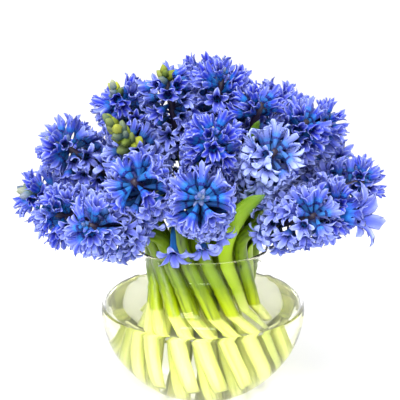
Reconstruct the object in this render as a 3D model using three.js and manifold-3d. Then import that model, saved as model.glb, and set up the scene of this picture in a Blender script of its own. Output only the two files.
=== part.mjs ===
// A round bouquet of cut hyacinths standing in water in a clear glass vase.
// Millimetres, +Z up, origin at the middle of the vase's foot.
import * as THREE from "three";
import { mergeVertices } from "three/addons/utils/BufferGeometryUtils.js";
import Module from "manifold-3d";

const wasm = await Module();
wasm.setup();

// Sizes of the vase: half of its outline from the foot up to the rim, as radius and height
const VASE_OUTLINE = [
  [36, 0], [57, 8], [76, 26], [90, 47], [97.5, 73], [95.5, 92],
  [86, 107], [71, 117], [60, 122.5], [58.5, 127], [62, 139],
];
const VASE_SAMPLES = 10;
const VASE_SIDES = 26;
const GLASS_WALL = 2.6;
const GLASS_FLOOR = 6;
const LIP_RISE = 0.8;
const WATER_LEVEL = 87;

// Clearances between touching pieces
const GAP = 0.3;
const HOLE_CLEARANCE = 0.4;

// Sizes of the stems and of the spiral in which they pass the neck
const STEM_RADIUS = 6.3;
const STEM_SIDES = 6;
const NECK_HEIGHT = 130;
const NECK_REACH = 48;
const LOWEST_FOOT = 11;
const OUTER_FOOT_RISE = 18;
const OUTER_FOOT_REACH = 66;
const FOOT_RISE_POWER = 4;
const NECK_SPACING = 17.5;
const FOOT_SPREAD = 1.35;
const FOOT_TWIST = 48;
const HEAD_SWIRL = 17;
const SETTLE_ROUNDS = 400;
const RUN_STEPS = 5;
const STRAIGHT_SHARE = 1 / RUN_STEPS;
const STEM_NECK_HANDLE = 24;
const STEM_HEAD_HANDLE = 32;

// The point from which all the heads radiate, and how far from it a head starts
const BOUQUET_CENTRE = new THREE.Vector3(0, 0, 145);
const HEAD_START = 90;
const HEAD_WEIGHT = 1;
const LEAF_WEIGHT = 0.5;

// Every head's azimuth and elevation from the bouquet's centre, how far out its tip is, and how full it is
const HEADS = [
  [-166, 37, 178, 1.1], [-170, 18, 178, 1.1], [-125, 17, 170, 1], [-113, 31, 169, 1],
  [-91, 27, 170, 1], [-86, 46, 169, 1], [-133, 48, 170, 1], [-155, 60, 176, 1.1],
  [-122, 69, 177, 1.1], [-74, 70, 177, 1.1], [-59, 56, 175, 1], [-63, 40, 170, 1],
  [-55, 20, 169, 1], [-33, 49, 171, 1.1], [-8, 46, 175, 1.1], [-15, 24, 174, 1.1],
  [-148, 17, 166, 1.1], [-36, 21, 158, 1.1], [16, 26, 174, 1.3], [49, 30, 174, 1.3],
  [82, 25, 176, 1.3], [116, 30, 174, 1.3], [150, 26, 175, 1.3], [32, 54, 174, 1.3],
  [90, 54, 174, 1.3], [148, 55, 174, 1.3], [90, 80, 176, 1.3],
];

// Every leaf's azimuth and elevation, how far out its tip is, and its greatest width
const LEAVES = [
  [-71, 28, 148, 19], [-46, 14, 110, 12], [-61, 53, 150, 12], [60, 38, 140, 16],
];

// Sizes of one floret, along its own axis from its root in the middle of the head
const FLORET = {
  waistReach: 12, waistRadius: 9,
  notchReach: 19, notchRadius: 14.5,
  tipReach: 23, tipRadius: 20,
  throatReach: 18,
};
const LOBES = 6;
const WAIST_SIDES = 3;
const FLORETS_PER_HEAD = 9;
const FIRST_SEED = 1000;
const SEED_STEP = 77;
const GOLDEN_ANGLE = 137.508;
const ANGLE_SPREAD = 14;
const TILT_SPREAD = 8;
const HIGHEST_TILT = 62;
const LOWEST_FLORET = 11;
const FLORET_RIM = { first: 4, last: 15 };
const FLORET_LENGTHS = [1, 0.92, 0.84, 0.76, 0.68];
const EXTRA_TILTS = [0, 10, 20];
const NARROWEST_FLORET = 0.6;
const LENGTH_WORTH = 0.5;
const TILT_COST = 0.003;
const FLORET_GAP = 0.1;

// Sizes of a head's core and of the buds round its tip
const CORE_SIDES = 4;
const CORE_RADIUS = 8;
const CORE_TIP_RADIUS = 4.6;
const CORE_END_BELOW_TIP = 12;
const BUDS_PER_HEAD = 4;
const BUD_LENGTH = 16;
const BUD_RADIUS = 5;
const BUD_LEAN = 48;
const BUD_SIDES = 3;

// Sizes of the leaves' blades
const LEAF_STEPS = 10;
const LEAF_FOOT_WIDTH = 8;
const LEAF_NECK_WIDTH = 9;
const LEAF_THICKNESS = 2;
const LEAF_EDGE_THICKNESS = 0.9;
const LEAF_FOLD = 0.16;
const LEAF_WIDEST_AT = 0.72;
const LEAF_TIP_ROUNDNESS = 2.4;
const LEAF_ROOM_FROM = 90;
const LEAF_NECK_HANDLE = 28;
const LEAF_TIP_HANDLE = 45;

const COLOURS = {
  glass: 0xeef5f2, water: 0xf2f6d8, stem: 0x9dc21a, head: 0x4f4fd8, leaf: 0x6fa11c,
};

const radians = THREE.MathUtils.degToRad;
const lerp = THREE.MathUtils.lerp;

// A repeatable stream of numbers from 0 to 1
function seededDraws(seed) {
  let state = seed;
  return () => {
    state = (state * 1664525 + 1013904223) % 4294967296;
    return state / 4294967296;
  };
}

// Solids and meshes
function solidFrom(geometry) {
  const bare = geometry.index ? geometry.clone() : geometry;
  bare.deleteAttribute("normal");
  bare.deleteAttribute("uv");
  const merged = mergeVertices(bare, 1e-4);
  const corners = merged.index.array;
  const triangles = [];
  for (let i = 0; i < corners.length; i += 3) {
    const [a, b, c] = [corners[i], corners[i + 1], corners[i + 2]];
    if (a !== b && b !== c && c !== a) triangles.push(a, b, c);
  }
  return new wasm.Manifold(new wasm.Mesh({
    numProp: 3,
    vertProperties: new Float32Array(merged.attributes.position.array),
    triVerts: new Uint32Array(triangles),
  }));
}

// The largest connected surface in a list of triangles: a sealed hollow is filled, a loose scrap dropped
function largestSurface(corners) {
  const owners = new Map();
  const ownerOf = (corner) => {
    let owner = corner;
    while (owners.has(owner)) owner = owners.get(owner);
    return owner;
  };
  for (let i = 0; i < corners.length; i += 3) {
    for (const corner of [corners[i + 1], corners[i + 2]]) {
      const [one, other] = [ownerOf(corners[i]), ownerOf(corner)];
      if (one !== other) owners.set(one, other);
    }
  }
  const surfaces = new Map();
  for (let i = 0; i < corners.length; i += 3) {
    const owner = ownerOf(corners[i]);
    const surface = surfaces.get(owner) ?? [];
    surface.push(corners[i], corners[i + 1], corners[i + 2]);
    surfaces.set(owner, surface);
  }
  return [...surfaces.values()].reduce((one, other) => (one.length > other.length ? one : other));
}

function geometryFrom(solid) {
  const mesh = solid.getMesh();
  const shared = new THREE.BufferGeometry();
  shared.setAttribute("position", new THREE.BufferAttribute(mesh.vertProperties, 3));
  shared.setIndex(largestSurface(mesh.triVerts));
  const geometry = shared.toNonIndexed();
  geometry.computeVertexNormals();
  return geometry;
}

function material(colour, roughness, opacity = 1) {
  return new THREE.MeshStandardMaterial({
    color: colour, roughness, metalness: 0, opacity, transparent: opacity < 1, flatShading: true,
  });
}

function addNode(name, geometry, itsMaterial) {
  const mesh = new THREE.Mesh(geometry, itsMaterial);
  mesh.name = name;
  group.add(mesh);
}

// Directions from the bouquet's centre
function directionOf([azimuth, elevation]) {
  const a = radians(azimuth);
  const e = radians(elevation);
  return new THREE.Vector3(Math.cos(a) * Math.cos(e), Math.sin(a) * Math.cos(e), Math.sin(e));
}

// The vase's profile and the water's
function vaseOutline() {
  const curve = new THREE.SplineCurve(VASE_OUTLINE.map(([r, z]) => new THREE.Vector2(r, z)));
  return curve.getSpacedPoints(VASE_SAMPLES);
}

function insetOutline(outline, inset) {
  return outline.map((point, i) => {
    const before = outline[Math.max(i - 1, 0)];
    const after = outline[Math.min(i + 1, outline.length - 1)];
    const along = after.clone().sub(before).normalize();
    return new THREE.Vector2(point.x - along.y * inset, point.y + along.x * inset);
  });
}

// The stretch of an outline above a level, with a point put in just at that level
function partAbove(outline, level) {
  const first = outline.findIndex((point) => point.y > level);
  const [low, high] = [outline[first - 1], outline[first]];
  const start = low.clone().lerp(high, (level - low.y) / (high.y - low.y));
  return [start, ...outline.slice(first)];
}

function partBelow(outline, level) {
  return partAbove(outline.slice().reverse().map((p) => new THREE.Vector2(p.x, -p.y)), -level)
    .map((p) => new THREE.Vector2(p.x, -p.y)).reverse();
}

function turned(profile) {
  const geometry = new THREE.LatheGeometry(profile, VASE_SIDES);
  geometry.rotateX(Math.PI / 2);
  return solidFrom(geometry);
}

function vaseSolid(outline) {
  const inside = partAbove(insetOutline(outline, GLASS_WALL), GLASS_FLOOR);
  const rim = outline.at(-1).clone().lerp(inside.at(-1), 0.5);
  rim.y += LIP_RISE;
  return turned([
    new THREE.Vector2(0, 0), ...outline, rim, ...inside.reverse(), new THREE.Vector2(0, GLASS_FLOOR),
  ]);
}

function waterSolid(outline) {
  const inside = partAbove(insetOutline(outline, GLASS_WALL + GAP), GLASS_FLOOR + GAP);
  const wetted = partBelow(inside, WATER_LEVEL);
  return turned([
    new THREE.Vector2(0, GLASS_FLOOR + GAP), ...wetted, new THREE.Vector2(0, WATER_LEVEL),
  ]);
}

// Where each stem and leaf passes the neck: spread like the heads, then pushed apart until all have room
function neckPlaces(sites) {
  const places = sites.map((site) => {
    const reach = NECK_REACH * Math.cos(radians(site[1]));
    const azimuth = radians(site[0] + HEAD_SWIRL);
    return new THREE.Vector2(reach * Math.cos(azimuth), reach * Math.sin(azimuth));
  });
  for (let round = 0; round < SETTLE_ROUNDS; round += 1) {
    for (let i = 0; i < places.length; i += 1) {
      for (let j = i + 1; j < places.length; j += 1) {
        const apart = places[i].clone().sub(places[j]);
        const lack = NECK_SPACING - apart.length();
        if (lack > 0) {
          apart.setLength(lack / 2);
          places[i].add(apart);
          places[j].sub(apart);
        }
      }
    }
    places.forEach((place) => place.clampLength(0, NECK_REACH));
  }
  return places;
}

// A stem's or leaf's run: straight from its foot to the neck, then bent out to where it ends
class Run extends THREE.Curve {
  constructor(place, end, direction, firstHandle, lastHandle) {
    super();
    const foot = place.clone().rotateAround(new THREE.Vector2(), radians(FOOT_TWIST));
    foot.multiplyScalar(FOOT_SPREAD);
    const rise = OUTER_FOOT_RISE * (foot.length() / OUTER_FOOT_REACH) ** FOOT_RISE_POWER;
    this.foot = new THREE.Vector3(foot.x, foot.y, LOWEST_FOOT + rise);
    this.neck = new THREE.Vector3(place.x, place.y, NECK_HEIGHT);
    this.lean = this.neck.clone().sub(this.foot).normalize();
    this.bend = new THREE.CubicBezierCurve3(
      this.neck,
      this.neck.clone().addScaledVector(this.lean, firstHandle),
      end.clone().addScaledVector(direction, -lastHandle),
      end,
    );
  }

  getPoint(t) {
    if (t <= STRAIGHT_SHARE) return this.foot.clone().lerp(this.neck, t / STRAIGHT_SHARE);
    return this.bend.getPoint((t - STRAIGHT_SHARE) / (1 - STRAIGHT_SHARE));
  }

  getTangent(t) {
    if (t <= STRAIGHT_SHARE) return this.lean.clone();
    return this.bend.getTangent((t - STRAIGHT_SHARE) / (1 - STRAIGHT_SHARE));
  }

  // Steps are taken along the curve's own parameter, so the straight stretch needs only one
  getPointAt(t) {
    return this.getPoint(t);
  }

  getTangentAt(t) {
    return this.getTangent(t);
  }
}

function roundSection(radius, sides) {
  const shape = new THREE.Shape();
  for (let i = 0; i < sides; i += 1) {
    const angle = (2 * Math.PI * i) / sides;
    const [x, y] = [radius * Math.cos(angle), radius * Math.sin(angle)];
    if (i === 0) shape.moveTo(x, y);
    else shape.lineTo(x, y);
  }
  shape.closePath();
  return shape;
}

function stemGeometry(run) {
  return new THREE.ExtrudeGeometry(roundSection(STEM_RADIUS, STEM_SIDES), {
    steps: RUN_STEPS, bevelEnabled: false, extrudePath: run,
  });
}

// The plain hole in the water round the straight stretch of a stem
function stemHole(run) {
  const below = run.foot.clone().addScaledVector(run.lean, -HOLE_CLEARANCE);
  const path = new THREE.LineCurve3(below, run.neck);
  return solidFrom(new THREE.ExtrudeGeometry(roundSection(STEM_RADIUS + HOLE_CLEARANCE, STEM_SIDES), {
    steps: 1, bevelEnabled: false, extrudePath: path,
  }));
}

// Half of a leaf's width at a share of its run: even through the neck, widest high up, round at the tip
function leafHalfWidth(t, widest) {
  if (t <= STRAIGHT_SHARE) return lerp(LEAF_FOOT_WIDTH, LEAF_NECK_WIDTH, t / STRAIGHT_SHARE) / 2;
  if (t <= LEAF_WIDEST_AT) {
    const rise = THREE.MathUtils.smoothstep(t, STRAIGHT_SHARE, LEAF_WIDEST_AT);
    return lerp(LEAF_NECK_WIDTH, widest, rise) / 2;
  }
  const fall = (t - LEAF_WIDEST_AT) / (1 - LEAF_WIDEST_AT);
  return Math.max((widest / 2) * Math.sqrt(1 - fall ** LEAF_TIP_ROUNDNESS), LEAF_EDGE_THICKNESS);
}

// A leaf is a thin block, three edges wide, laid along its run and folded a little along its middle
function leafGeometry(run, widest, planes, extra = 0) {
  const geometry = new THREE.BoxGeometry(2, 1, 2, 2, LEAF_STEPS, 1);
  const spots = geometry.attributes.position;
  for (let i = 0; i < spots.count; i += 1) {
    const [side, t, face] = [spots.getX(i), spots.getY(i) + 0.5, spots.getZ(i)];
    const centre = run.getPoint(t);
    if (t === 0) centre.addScaledVector(run.lean, -extra);
    const along = run.getTangent(t);
    const outwards = new THREE.Vector3(centre.x, centre.y, 0).normalize();
    const across = outwards.cross(along).normalize();
    const normal = across.clone().cross(along);
    let half = leafHalfWidth(t, widest);
    if (t > STRAIGHT_SHARE && centre.distanceTo(BOUQUET_CENTRE) > LEAF_ROOM_FROM) {
      const left = roomAlong(centre, across.clone().multiplyScalar(half), planes);
      const right = roomAlong(centre, across.clone().multiplyScalar(-half), planes);
      half *= Math.min(1, left, right);
    }
    const thickness = Math.abs(side) < 0.5 ? LEAF_THICKNESS : LEAF_EDGE_THICKNESS;
    centre.addScaledVector(across, side * (half + extra));
    centre.addScaledVector(normal, face * (thickness / 2 + extra) + Math.abs(side) * half * LEAF_FOLD);
    spots.setXYZ(i, centre.x, centre.y, centre.z);
  }
  return geometry;
}

// The planes through the bouquet's centre that part one head or leaf from its neighbours
function cellPlanes(index) {
  const own = directions[index];
  const planes = [];
  directions.forEach((other, i) => {
    if (i === index) return;
    const share = (own.angleTo(other) * weights[index]) / (weights[index] + weights[i]);
    const axis = own.clone().cross(other).normalize();
    const normal = own.clone().applyAxisAngle(axis, share + Math.PI / 2);
    planes.push({ normal, limit: BOUQUET_CENTRE.dot(normal) - GAP / 2 });
  });
  return planes;
}

// The planes halfway between one floret's middle and those of the other florets of its head
function floretPlanes(index, middles) {
  const own = middles[index];
  return middles.filter((_, i) => i !== index).map((other) => {
    const normal = other.clone().sub(own).normalize();
    return { normal, limit: own.clone().lerp(other, 0.5).dot(normal) - FLORET_GAP / 2 };
  });
}

// How many times a step may be taken from a start before it meets one of the planes
function roomAlong(start, step, planes) {
  let room = Infinity;
  for (const { normal, limit } of planes) {
    const left = limit - start.dot(normal);
    const speed = step.dot(normal);
    if (left < 0) return 0;
    if (speed > 1e-9) room = Math.min(room, left / speed);
  }
  return room;
}

// The corners of a floret round its root at the origin, opening along +Z
function floretCorners(fullness) {
  const ring = (count, radius, height, turn) => Array.from({ length: count }, (_, i) => {
    const angle = turn + (2 * Math.PI * i) / count;
    return new THREE.Vector3(radius * Math.cos(angle), radius * Math.sin(angle), height);
  });
  const tips = ring(LOBES, FLORET.tipRadius, FLORET.tipReach, 0);
  const notches = ring(LOBES, FLORET.notchRadius, FLORET.notchReach, Math.PI / LOBES);
  return [
    new THREE.Vector3(0, 0, 0),
    ...ring(WAIST_SIDES, FLORET.waistRadius, FLORET.waistReach, 0),
    ...tips.flatMap((tip, i) => [tip, notches[i]]),
    new THREE.Vector3(0, 0, FLORET.throatReach),
  ].map((corner) => corner.multiplyScalar(fullness));
}

// The faces that join those corners: root to waist, waist to the star-shaped rim, rim to throat
function floretFaces() {
  const [root, waist, rim, throat] = [0, 1, FLORET_RIM.first, FLORET_RIM.last + 1];
  const rimCount = 2 * LOBES;
  const rimPerWaist = rimCount / WAIST_SIDES;
  const faces = [];
  for (let k = 0; k < WAIST_SIDES; k += 1) {
    const [here, next] = [waist + k, waist + ((k + 1) % WAIST_SIDES)];
    const spot = (step) => rim + ((rimPerWaist * k + step + rimCount) % rimCount);
    faces.push(root, next, here);
    faces.push(here, spot(-1), spot(-2));
    faces.push(here, spot(0), spot(-1));
    faces.push(here, spot(1), spot(0));
    faces.push(here, spot(2), spot(1));
    faces.push(here, next, spot(2));
  }
  for (let k = 0; k < rimCount; k += 1) {
    faces.push(throat, rim + k, rim + ((k + 1) % rimCount));
  }
  return faces;
}

function solidFromCorners(corners, faces) {
  const geometry = new THREE.BufferGeometry();
  geometry.setFromPoints(corners);
  geometry.setIndex(faces);
  return solidFrom(geometry);
}

// A frame whose Z is a floret's axis, with its turn about that axis drawn at random
function frameAlong(direction, turn) {
  const frame = new THREE.Quaternion().setFromUnitVectors(new THREE.Vector3(0, 0, 1), direction);
  const spin = new THREE.Quaternion().setFromAxisAngle(new THREE.Vector3(0, 0, 1), turn);
  return frame.multiply(spin);
}

// The widest and longest floret that stays clear of its neighbours, at a few lengths and tilts
function fittedFloret({ root, outwards, tilt, turn }, axis, fullness, headPlanes, rimPlanes) {
  const shape = floretCorners(fullness);
  const allPlanes = [...headPlanes, ...rimPlanes];
  const planesFor = (i) => (i >= FLORET_RIM.first && i <= FLORET_RIM.last ? allPlanes : headPlanes);
  let best = { merit: 0 };
  for (const extra of EXTRA_TILTS) {
    const lean = radians(tilt + extra);
    const direction = outwards.clone().multiplyScalar(Math.cos(lean)).addScaledVector(axis, Math.sin(lean));
    const frame = frameAlong(direction, turn);
    for (const length of FLORET_LENGTHS) {
      const bases = shape.map(({ z }) => root.clone().addScaledVector(direction, z * length));
      const spreads = shape.map(({ x, y }) => new THREE.Vector3(x, y, 0).applyQuaternion(frame));
      const width = Math.min(1, ...bases.map((base, i) => roomAlong(base, spreads[i], planesFor(i))));
      const merit = width * lerp(1, length, LENGTH_WORTH) - extra * TILT_COST;
      if (width > NARROWEST_FLORET && merit > best.merit) {
        best = { merit, corners: bases.map((base, i) => base.addScaledVector(spreads[i], width)) };
      }
    }
  }
  return best.corners;
}

// Where each floret of a head starts, and which way it points: a spiral with equal room for each,
// up a cylinder and on over the dome that closes it
function floretPlan(number, direction, length, start, toHead, fullness) {
  const draw = seededDraws(FIRST_SEED + SEED_STEP * number);
  const dome = FLORET.tipReach * fullness;
  const straight = length - dome - LOWEST_FLORET;
  return Array.from({ length: FLORETS_PER_HEAD }, (_, k) => {
    const climb = ((k + 0.5) / FLORETS_PER_HEAD) * (straight + dome * Math.sin(radians(HIGHEST_TILT)));
    const height = LOWEST_FLORET + Math.min(climb, straight);
    const domeShare = Math.max(climb - straight, 0) / dome;
    const tilt = THREE.MathUtils.radToDeg(Math.asin(domeShare)) + TILT_SPREAD * (draw() - 0.5);
    const angle = radians(GOLDEN_ANGLE * k + ANGLE_SPREAD * (draw() - 0.5)) + number;
    const outwards = new THREE.Vector3(Math.cos(angle), Math.sin(angle), 0).applyQuaternion(toHead);
    const root = start.clone().addScaledVector(direction, height);
    const middle = root.clone().addScaledVector(outwards, dome * Math.cos(radians(tilt)))
      .addScaledVector(direction, dome * Math.sin(radians(tilt)));
    return { root, outwards, tilt, turn: draw() * Math.PI, middle };
  });
}

function headSolid(number, direction, reach, fullness) {
  const toHead = frameAlong(direction, 0);
  const start = BOUQUET_CENTRE.clone().addScaledVector(direction, HEAD_START);
  const length = reach - HEAD_START;
  const plan = floretPlan(number, direction, length, start, toHead, fullness);
  const middles = plan.map((floret) => floret.middle);
  const neighbours = cellPlanes(number);
  let solid = coreSolid(start, toHead, length);
  plan.forEach((floret, k) => {
    const corners = fittedFloret(floret, direction, fullness, neighbours, floretPlanes(k, middles));
    if (corners) solid = solid.add(solidFromCorners(corners, floretFaces()));
  });
  for (let k = 0; k < BUDS_PER_HEAD; k += 1) {
    solid = solid.add(budSolid(k, start, toHead, length));
  }
  return solid;
}

// The thick axis of a head, which its florets and buds grow from
function coreSolid(start, toHead, length) {
  const end = length - CORE_END_BELOW_TIP;
  const profile = [
    [0, GAP], [CORE_RADIUS, GAP], [CORE_TIP_RADIUS, end], [0, end],
  ];
  const geometry = new THREE.LatheGeometry(profile.map(([r, z]) => new THREE.Vector2(r, z)), CORE_SIDES);
  geometry.rotateX(Math.PI / 2);
  geometry.applyQuaternion(toHead);
  geometry.translate(start.x, start.y, start.z);
  return solidFrom(geometry);
}

function budSolid(k, start, toHead, length) {
  const turn = (2 * Math.PI * k) / (BUDS_PER_HEAD - 1);
  const lean = k === BUDS_PER_HEAD - 1 ? 0 : radians(BUD_LEAN);
  const axis = new THREE.Vector3(0, 0, 1).applyAxisAngle(new THREE.Vector3(0, 1, 0), lean)
    .applyAxisAngle(new THREE.Vector3(0, 0, 1), turn);
  const geometry = new THREE.SphereGeometry(1, BUD_SIDES, 2);
  geometry.rotateX(Math.PI / 2);
  geometry.scale(BUD_RADIUS, BUD_RADIUS, BUD_LENGTH / 2);
  geometry.translate(0, 0, BUD_LENGTH / 2);
  geometry.applyQuaternion(frameAlong(axis, turn));
  geometry.translate(0, 0, length - BUD_LENGTH);
  geometry.applyQuaternion(toHead);
  geometry.translate(start.x, start.y, start.z);
  return solidFrom(geometry);
}

const group = new THREE.Group();
const outline = vaseOutline();
const sites = [...HEADS, ...LEAVES];
const directions = sites.map(directionOf);
const weights = [...HEADS.map(() => HEAD_WEIGHT), ...LEAVES.map(() => LEAF_WEIGHT)];
const places = neckPlaces(sites);
let water = waterSolid(outline);

HEADS.forEach((head, i) => {
  const label = String(i + 1).padStart(2, "0");
  const direction = directions[i];
  const end = BOUQUET_CENTRE.clone().addScaledVector(direction, HEAD_START);
  const run = new Run(places[i], end, direction, STEM_NECK_HANDLE, STEM_HEAD_HANDLE);
  addNode(`stem_${label}`, stemGeometry(run), material(COLOURS.stem, 0.5));
  water = water.subtract(stemHole(run));
  const solid = headSolid(i, direction, head[2], head[3]);
  addNode(`head_${label}`, geometryFrom(solid), material(COLOURS.head, 0.5));
});

LEAVES.forEach((leaf, i) => {
  const site = HEADS.length + i;
  const end = BOUQUET_CENTRE.clone().addScaledVector(directions[site], leaf[2]);
  const run = new Run(places[site], end, directions[site], LEAF_NECK_HANDLE, LEAF_TIP_HANDLE);
  const planes = cellPlanes(site);
  addNode(`leaf_${i + 1}`, leafGeometry(run, leaf[3], planes), material(COLOURS.leaf, 0.45));
  water = water.subtract(solidFrom(leafGeometry(run, leaf[3], planes, HOLE_CLEARANCE)));
});

addNode("vase", geometryFrom(vaseSolid(outline)), material(COLOURS.glass, 0.05, 0.3));
addNode("water", geometryFrom(water), material(COLOURS.water, 0.05, 0.4));

export default group;
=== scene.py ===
from collections import namedtuple
from math import acos, asin, cos, hypot, pi, radians, sin, sqrt

import bpy
import numpy as np
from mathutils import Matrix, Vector


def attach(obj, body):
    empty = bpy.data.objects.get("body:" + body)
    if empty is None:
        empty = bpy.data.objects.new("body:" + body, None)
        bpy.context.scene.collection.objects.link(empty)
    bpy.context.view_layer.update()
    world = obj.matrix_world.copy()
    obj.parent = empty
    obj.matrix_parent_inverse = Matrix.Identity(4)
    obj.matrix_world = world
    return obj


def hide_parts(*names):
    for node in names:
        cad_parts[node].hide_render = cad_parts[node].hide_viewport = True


# Looks of a round bouquet of blue hyacinths in a clear glass vase. Metres, +Z up.
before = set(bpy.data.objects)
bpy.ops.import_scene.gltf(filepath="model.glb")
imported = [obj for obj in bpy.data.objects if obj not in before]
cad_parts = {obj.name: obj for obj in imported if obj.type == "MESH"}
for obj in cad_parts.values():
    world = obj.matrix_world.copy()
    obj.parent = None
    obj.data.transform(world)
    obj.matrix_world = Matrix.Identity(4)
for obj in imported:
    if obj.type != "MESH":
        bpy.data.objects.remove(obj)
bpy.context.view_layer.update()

# The bouquet's layout, as in the part: azimuth and elevation, how far out the tip is, and fullness
HEADS = (
    (-166, 37, 0.178, 1.1), (-170, 18, 0.178, 1.1), (-125, 17, 0.170, 1.0), (-113, 31, 0.169, 1.0),
    (-91, 27, 0.170, 1.0), (-86, 46, 0.169, 1.0), (-133, 48, 0.170, 1.0), (-155, 60, 0.176, 1.1),
    (-122, 69, 0.177, 1.1), (-74, 70, 0.177, 1.1), (-59, 56, 0.175, 1.0), (-63, 40, 0.170, 1.0),
    (-55, 20, 0.169, 1.0), (-33, 49, 0.171, 1.1), (-8, 46, 0.175, 1.1), (-15, 24, 0.174, 1.1),
    (-148, 17, 0.166, 1.1), (-36, 21, 0.158, 1.1), (16, 26, 0.174, 1.3), (49, 30, 0.174, 1.3),
    (82, 25, 0.176, 1.3), (116, 30, 0.174, 1.3), (150, 26, 0.175, 1.3), (32, 54, 0.174, 1.3),
    (90, 54, 0.174, 1.3), (148, 55, 0.174, 1.3), (90, 80, 0.176, 1.3),
)

# The leaves' azimuth and elevation, how far out the tip is, and the greatest width
LEAVES = (
    (-71, 28, 0.148, 0.019), (-46, 14, 0.110, 0.012), (-61, 53, 0.150, 0.012), (60, 38, 0.140, 0.016),
)
BOUQUET_CENTRE = np.array((0.0, 0.0, 0.145))
HEAD_START = 0.090
HEAD_WEIGHT = 1.0
LEAF_WEIGHT = 0.5

# How the stems pass the neck and where they end in the water
NECK_HEIGHT = 0.130
NECK_REACH = 0.048
NECK_SPACING = 0.0175
SETTLE_ROUNDS = 400
HEAD_SWIRL = 17
LOWEST_FOOT = 0.011
OUTER_FOOT_RISE = 0.018
OUTER_FOOT_REACH = 0.066
FOOT_RISE_POWER = 4
FOOT_SPREAD = 1.35
FOOT_TWIST = 48
STEM_NECK_HANDLE = 0.024
STEM_HEAD_HANDLE = 0.032
LEAF_NECK_HANDLE = 0.028
LEAF_TIP_HANDLE = 0.045
STRAIGHT_SHARE = 1 / 5
STEM_RADIUS = 0.0063

# The vase's half outline, as radius and height, and the level of the water
VASE_OUTLINE = (
    (0.036, 0.0), (0.057, 0.008), (0.076, 0.026), (0.090, 0.047), (0.0975, 0.073), (0.0955, 0.092),
    (0.086, 0.107), (0.072, 0.116), (0.0633, 0.1193), (0.0598, 0.1265), (0.0600, 0.133), (0.062, 0.139),
)
GLASS_WALL = 0.0026
GLASS_FLOOR = 0.006
WATER_LEVEL = 0.087

UP = np.array((0.0, 0.0, 1.0))

# The most, in radians, that a draw turns a bud or shifts a stem's waves
LARGEST_TURN = 6


# Small helpers on rows of vectors
def unit(vectors):
    return vectors / np.maximum(np.linalg.norm(vectors, axis=-1, keepdims=True), 1e-12)


def smoothstep(x, low, high):
    t = np.clip((x - low) / (high - low), 0, 1)
    return t * t * (3 - 2 * t)


def mix(a, b, share):
    return a + (b - a) * share


def direction_of(azimuth, elevation):
    a, e = radians(azimuth), radians(elevation)
    return np.array((cos(a) * cos(e), sin(a) * cos(e), sin(e)))


def frame_along(direction):
    """The columns X, Y, Z of a frame whose Z is the direction, turned from upright the short way."""
    turn = Vector((0, 0, 1)).rotation_difference(Vector(direction))
    return np.array(turn.to_matrix())


# Where each stem and leaf passes the neck: spread like the heads, then pushed apart to have room
def neck_places(sites):
    places = []
    for azimuth, elevation in sites:
        reach = NECK_REACH * cos(radians(elevation))
        angle = radians(azimuth + HEAD_SWIRL)
        places.append(np.array((reach * cos(angle), reach * sin(angle))))
    for _ in range(SETTLE_ROUNDS):
        for i, place in enumerate(places):
            for other in places[i + 1:]:
                apart = place - other
                distance = hypot(*apart)
                if distance < NECK_SPACING:
                    push = apart * ((NECK_SPACING - distance) / 2 / distance)
                    place += push
                    other -= push
        for place in places:
            distance = hypot(*place)
            if distance > NECK_REACH:
                place *= NECK_REACH / distance
    return places


class Run:
    """A stem's or leaf's course: straight from its foot to the neck, then bent out to where it ends."""

    def __init__(self, place, end, direction, first_handle, last_handle):
        angle = radians(FOOT_TWIST)
        turned = (place[0] * cos(angle) - place[1] * sin(angle),
                  place[0] * sin(angle) + place[1] * cos(angle))
        foot = np.array(turned) * FOOT_SPREAD
        rise = OUTER_FOOT_RISE * (hypot(*foot) / OUTER_FOOT_REACH) ** FOOT_RISE_POWER
        self.foot = np.array((foot[0], foot[1], LOWEST_FOOT + rise))
        self.neck = np.array((place[0], place[1], NECK_HEIGHT))
        lean = unit(self.neck - self.foot)
        self.handles = (self.neck, self.neck + lean * first_handle, end - direction * last_handle, end)

    def points(self, t):
        t = np.asarray(t)[:, None]
        straight = self.foot + (self.neck - self.foot) * (t / STRAIGHT_SHARE)
        s = np.clip((t - STRAIGHT_SHARE) / (1 - STRAIGHT_SHARE), 0, 1)
        a, b, c, d = self.handles
        bend = a * (1 - s) ** 3 + b * 3 * s * (1 - s) ** 2 + c * 3 * s * s * (1 - s) + d * s ** 3
        return np.where(t < STRAIGHT_SHARE, straight, bend)


def tangents_of(points):
    return unit(np.gradient(points, axis=0))


# The planes through the bouquet's centre that part a head from its neighbours
def cell_planes(index, directions, weights):
    own = directions[index]
    normals, limits = [], []
    for i, other in enumerate(directions):
        if i == index:
            continue
        angle = acos(np.clip(own @ other, -1, 1))
        share = angle * weights[index] / (weights[index] + weights[i])
        side = unit(other - own * (own @ other))
        normal = -own * sin(share) + side * cos(share)
        normals.append(normal)
        limits.append(BOUQUET_CENTRE @ normal)
    return np.array(normals), np.array(limits)


def new_object(name, data):
    made = bpy.data.objects.new(name, data)
    bpy.context.scene.collection.objects.link(made)
    return made


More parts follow.
